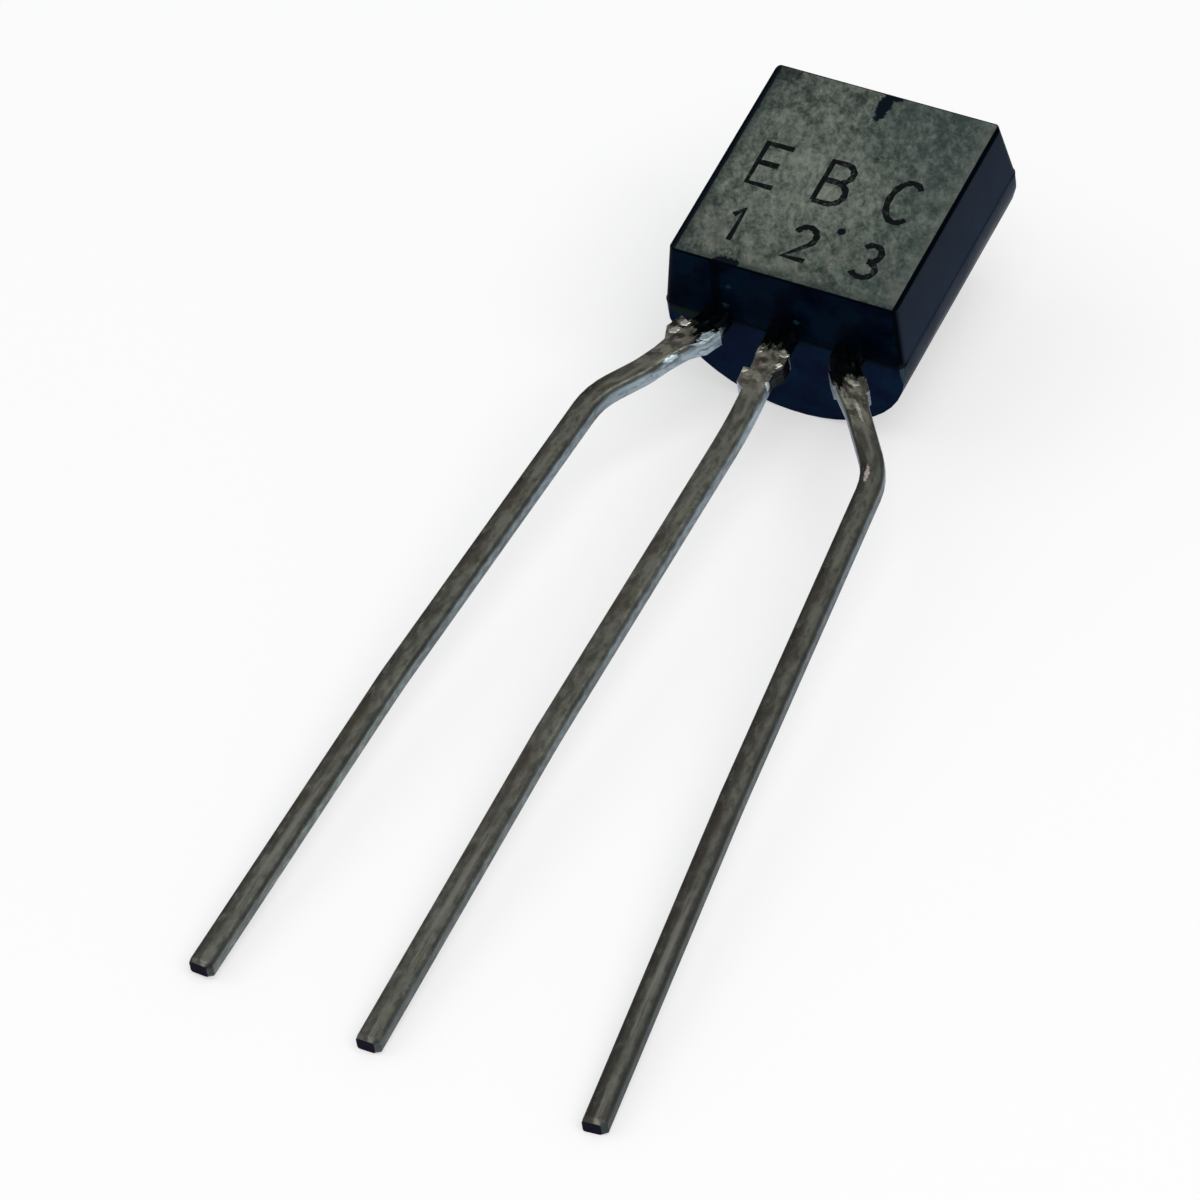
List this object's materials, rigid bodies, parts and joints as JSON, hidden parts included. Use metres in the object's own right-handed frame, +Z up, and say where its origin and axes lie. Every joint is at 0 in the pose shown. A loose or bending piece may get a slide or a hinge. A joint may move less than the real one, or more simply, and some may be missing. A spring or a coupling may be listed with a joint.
{
  "type": "to-92 transistor",
  "caption": "Small-signal transistor in a moulded half-round body with one flat side, on three flat tinned leads spread apart by hand.",
  "frame": {"origin": "under the middle of the part's bounding box, on the surface it lies on", "axes": "+Z up, out of the flat side to within 7.3 degrees; +Y along the length, from the lead tips to the body's crown; +X to the right with the flat side up and the leads towards the viewer, from the emitter's side to the collector's"},
  "size_m": [0.008, 0.0213, 0.0041],
  "materials": {
    "epoxy": "moulded, matt on the flat side",
    "lead": "tin plate, dulled and streaked",
    "silicon": "polished",
    "die_attach": "matt",
    "gold": "bright"
  },
  "bodies": {
    "root": {"body": "epoxy", "emitter_lead": "lead", "base_lead": "lead", "collector_lead": "lead", "die": "silicon", "die_attach": "die_attach", "emitter_wire": "gold", "base_wire": "gold"}
  },
  "joints": []
}
